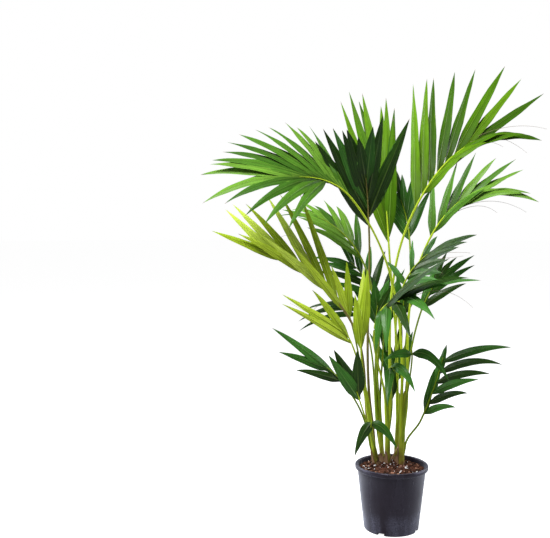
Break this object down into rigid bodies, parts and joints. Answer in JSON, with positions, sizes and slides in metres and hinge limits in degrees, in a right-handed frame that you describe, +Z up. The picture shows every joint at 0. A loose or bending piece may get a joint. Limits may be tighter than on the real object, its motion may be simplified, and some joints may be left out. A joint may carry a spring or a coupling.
{
  "type": "kentia palm",
  "caption": "Potted kentia palm: short stems in a round nursery pot carry long petioles with arching feather fronds.",
  "frame": {"origin": "middle of the pot's flat underside, where the potted palm stands", "axes": "+Z up along the plant's height, -Y towards the front view, +X to its right"},
  "size_m": [0.9272, 0.6337, 1.3497],
  "materials": {
    "pot": "black injection moulded plastic with a soft sheen, a little dusty",
    "soil": "loose dark bark and peat with white perlite grains",
    "stem": "smooth yellow-green, brown and fibrous towards the soil",
    "leaf_deep": "glossy dark green leaf",
    "leaf_mid": "glossy green leaf",
    "leaf_bright": "bright green leaf, lit through",
    "leaf_lime": "yellow-green young leaf"
  },
  "bodies": {
    "root": {"pot": "pot", "soil": "soil", "stem_a": "stem", "stem_b": "stem", "stem_c": "stem", "stem_d": "stem", "stem_e": "stem", "frond_arch_left": "leaf_mid", "frond_fan_front": "leaf_deep", "frond_back_bright": "leaf_bright", "frond_right_top": "leaf_bright", "frond_right_mid": "leaf_mid", "frond_back_dark": "leaf_deep", "frond_left_bright": "leaf_lime", "frond_left_low_bright": "leaf_lime", "frond_lime_upright": "leaf_lime", "frond_left_back": "leaf_mid", "frond_mid_right_dark": "leaf_deep", "frond_front_mid": "leaf_deep", "frond_right_small": "leaf_deep", "frond_low_right": "leaf_deep", "frond_low_left_long": "leaf_deep", "frond_low_left_fan": "leaf_deep", "frond_bottom_curl": "leaf_deep", "frond_centre_dark": "leaf_deep", "frond_centre_low": "leaf_deep", "frond_left_back_low": "leaf_deep", "frond_back_left": "leaf_deep", "frond_right_back": "leaf_deep", "frond_inner_left": "leaf_deep", "frond_inner_right": "leaf_deep", "frond_inner_low": "leaf_deep", "frond_left_bright_side": "leaf_lime", "frond_inner_back": "leaf_deep"}
  },
  "joints": []
}
